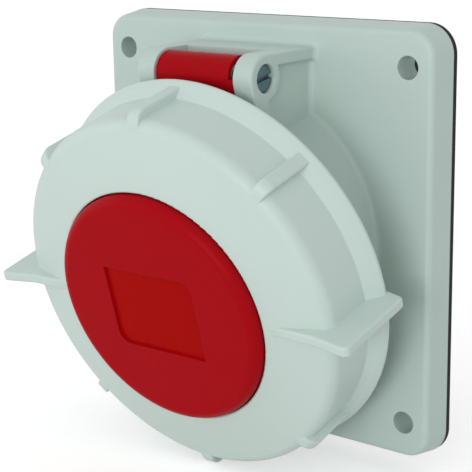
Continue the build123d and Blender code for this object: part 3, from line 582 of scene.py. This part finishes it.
def studio_floor(finish):
    """A pale round floor under the part, which keeps its shadow and runs out to white."""
    mesh = bpy.data.meshes.new("floor")
    shape = bmesh.new()
    bmesh.ops.create_circle(
        shape, cap_ends=True, segments=FLOOR_SEGMENTS, radius=finish.floor_reach)
    shape.to_mesh(mesh)
    shape.free()
    floor = bpy.data.objects.new("floor", mesh)
    floor.location = (0.0, 0.0, CAD_BOX[0][2] - FLOOR_DROP)
    bpy.context.scene.collection.objects.link(floor)
    material, tree, shader, place = new_material("Pale Floor")
    tone = effect(tree, "Tone Drift", {
        "Vector": place, "Color": finish.floor_tint, "Amount": FLOOR_DRIFT,
        "Size": FLOOR_PATCH})
    tree.links.new(tone["Color"], shader.inputs["Base Color"])
    shader.inputs["Roughness"].default_value = FLOOR_ROUGHNESS
    shader.inputs["Specular IOR Level"].default_value = 0.0
    rays = add(tree, "ShaderNodeLightPath").outputs
    glow = add(tree, "ShaderNodeEmission", {"Color": (1.0, 1.0, 1.0, 1.0)})
    seen = maths(tree, "MAXIMUM", rays["Is Camera Ray"], rays["Is Glossy Ray"])
    tree.links.new(maths(tree, "MULTIPLY", seen, FLOOR_GLOW), glow.inputs["Strength"])
    both = add(tree, "ShaderNodeAddShader", {0: shader.outputs[0], 1: glow.outputs[0]})
    tree.links.new(both.outputs[0], tree.nodes["Material Output"].inputs["Surface"])
    mesh.materials.append(material)


def area_lamp(name, power, place):
    """A large square lamp that faces the part."""
    lamp = bpy.data.lights.new(name, "AREA")
    lamp.energy = power
    lamp.shape = "SQUARE"
    lamp.size = LAMP_SIZE
    holder = bpy.data.objects.new(name, lamp)
    holder.location = place
    facing = Vector(STAGE_MIDDLE) - Vector(place)
    holder.rotation_euler = facing.to_track_quat("-Z", "Y").to_euler()
    bpy.context.scene.collection.objects.link(holder)


def studio_camera(lens):
    """The camera at the photograph's viewing angle."""
    camera = bpy.data.cameras.new("camera")
    camera.lens = lens
    camera.sensor_width = SENSOR_WIDTH
    camera.shift_x, camera.shift_y = CAMERA_SHIFT
    camera.clip_start = NEAREST_SEEN
    holder = bpy.data.objects.new("camera", camera)
    holder.location = CAMERA_AT
    holder.rotation_euler = [math.radians(angle) for angle in CAMERA_TURN]
    bpy.context.scene.collection.objects.link(holder)
    bpy.context.scene.camera = holder


class SOCKET_OT_stage(bpy.types.Operator):
    """Set up the pale floor, the studio light and the camera"""
    bl_idname = "socket.stage"
    bl_label = "Stage"

    def execute(self, context):
        finish = context.scene.socket_stage
        context.scene.view_settings.view_transform = "Standard"
        studio_world(finish.ambient)
        studio_floor(finish)
        area_lamp("key_lamp", finish.key, KEY_AT)
        area_lamp("fill_lamp", finish.fill, FILL_AT)
        studio_camera(finish.lens)
        return {"FINISHED"}


SETTINGS = {
    "socket_grey": GreyMouldingSettings,
    "socket_lid": LidSettings,
    "socket_rubber": RubberSettings,
    "socket_insulator": InsulatorSettings,
    "socket_steel": SteelSettings,
    "socket_brass": BrassSettings,
    "socket_stage": StageSettings,
}

OPERATORS = (
    SOCKET_OT_grey_mouldings,
    SOCKET_OT_lid,
    SOCKET_OT_seals,
    SOCKET_OT_insulators,
    SOCKET_OT_hinge,
    SOCKET_OT_contacts,
    SOCKET_OT_screws,
    SOCKET_OT_stage,
)


class VIEW3D_PT_panel_socket(bpy.types.Panel):
    """Finishes of the panel socket and the steps that apply them"""
    bl_label = "Panel Socket"
    bl_idname = "VIEW3D_PT_panel_socket"
    bl_space_type = "VIEW_3D"
    bl_region_type = "UI"
    bl_category = "Panel Socket"

    def draw(self, context):
        for label in SETTINGS:
            box = self.layout.box()
            values = getattr(context.scene, label)
            for name in values.__annotations__:
                box.prop(values, name)
        for operator in OPERATORS:
            self.layout.operator(operator.bl_idname)


def register():
    for item in (*SETTINGS.values(), *OPERATORS, VIEW3D_PT_panel_socket):
        bpy.utils.register_class(item)
    for label, group in SETTINGS.items():
        setattr(bpy.types.Scene, label, PointerProperty(type=group))


def unregister():
    for label in SETTINGS:
        delattr(bpy.types.Scene, label)
    for item in reversed((*SETTINGS.values(), *OPERATORS, VIEW3D_PT_panel_socket)):
        bpy.utils.unregister_class(item)


def main():
    """Registers the add-on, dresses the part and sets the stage."""
    register()
    bpy.ops.socket.grey_mouldings()
    bpy.ops.socket.lid()
    bpy.ops.socket.seals()
    bpy.ops.socket.insulators()
    bpy.ops.socket.hinge()
    bpy.ops.socket.contacts()
    bpy.ops.socket.screws()
    bpy.ops.socket.stage()


if __name__ == "__main__":
    main()
